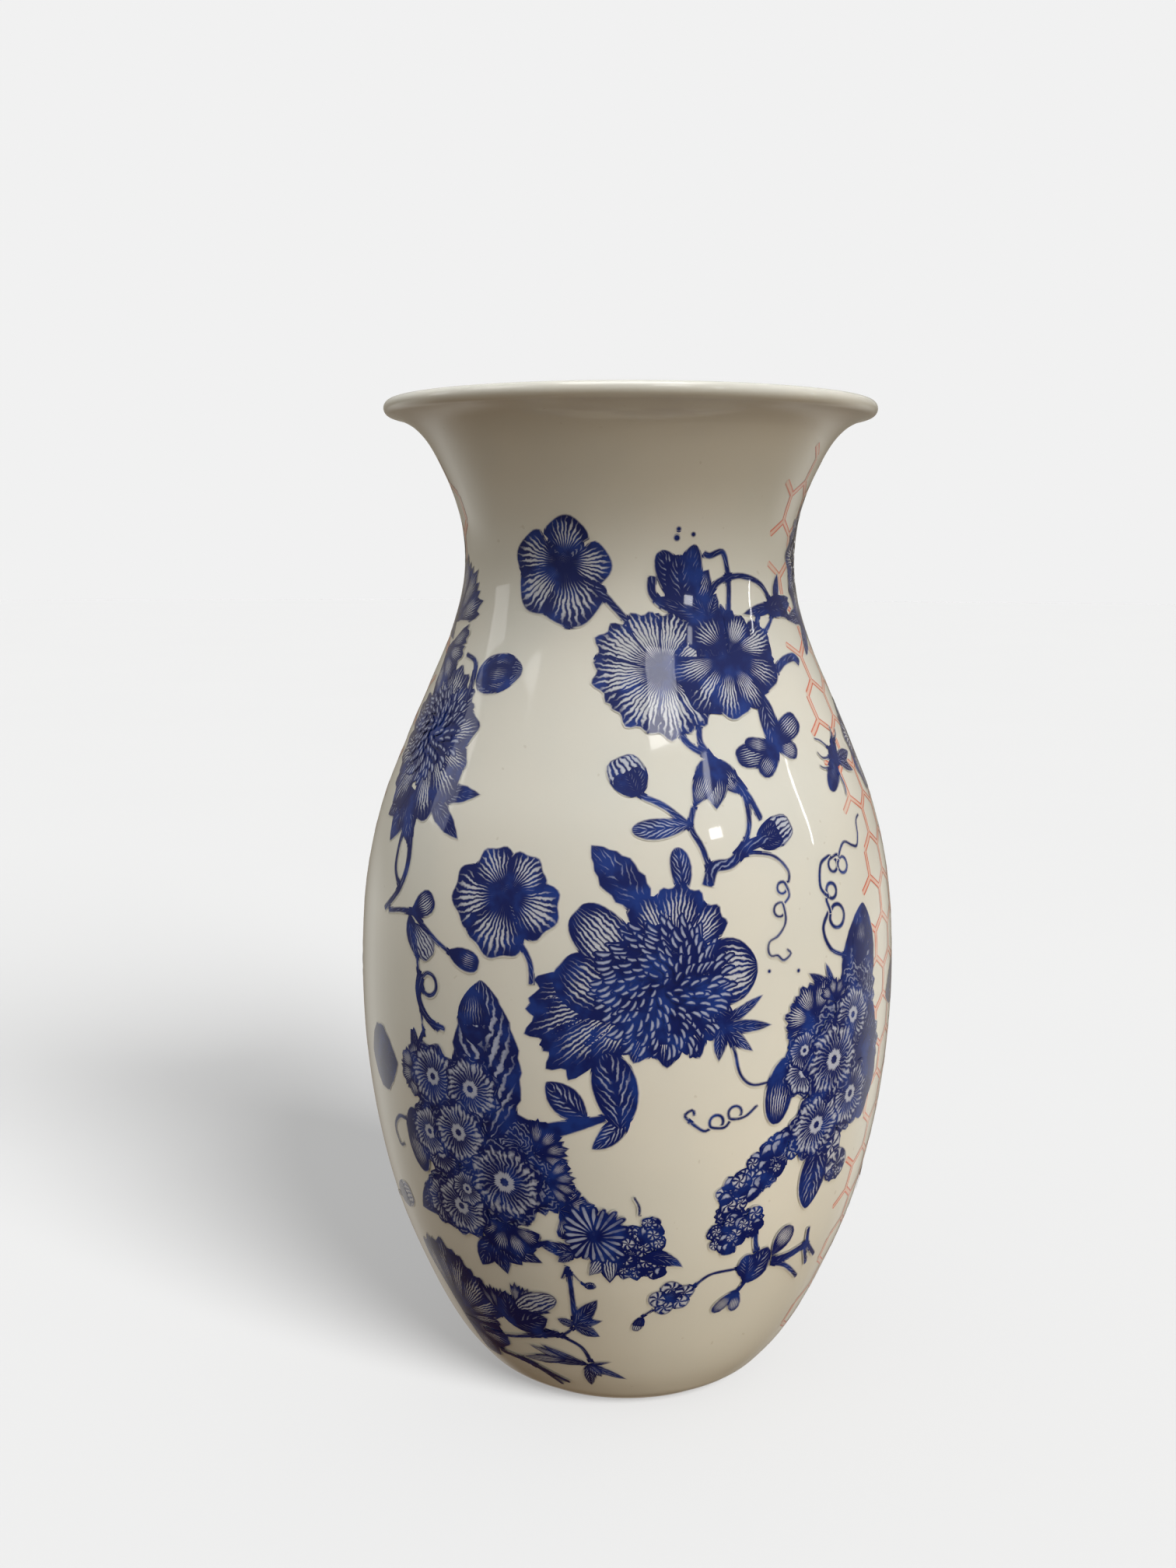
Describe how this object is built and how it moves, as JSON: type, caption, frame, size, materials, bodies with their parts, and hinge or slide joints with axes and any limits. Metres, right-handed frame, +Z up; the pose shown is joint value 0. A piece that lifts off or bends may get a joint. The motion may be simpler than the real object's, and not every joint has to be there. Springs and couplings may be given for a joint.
{
  "type": "vase",
  "caption": "Tall baluster vase in glazed porcelain: ovoid body on a small turned foot, waisted neck and wide flared mouth, with printed flower sprays under a clear gloss.",
  "frame": {"origin": "centre of the foot ring's resting face", "axes": "+Z up along the vase's axis of revolution; -Y is the side with the big open flower, which faces the viewer"},
  "size_m": [0.1654, 0.1654, 0.2999],
  "materials": {
    "white_glaze": "clear high-gloss glaze over warm white porcelain",
    "porcelain_body": "fired white porcelain under the glaze",
    "bisque_foot": "bare, ground porcelain, matt",
    "cobalt_print": "cobalt blue line-engraved print sunk in the gloss glaze",
    "coral_print": "coral red enamel line print in the gloss glaze"
  },
  "bodies": {
    "root": {"foot_ring": "bisque_foot", "lower_body": "porcelain_body", "upper_body": "porcelain_body", "neck": "porcelain_body", "lip": "porcelain_body", "outer_glaze": "white_glaze", "inner_glaze": "white_glaze"}
  },
  "joints": []
}
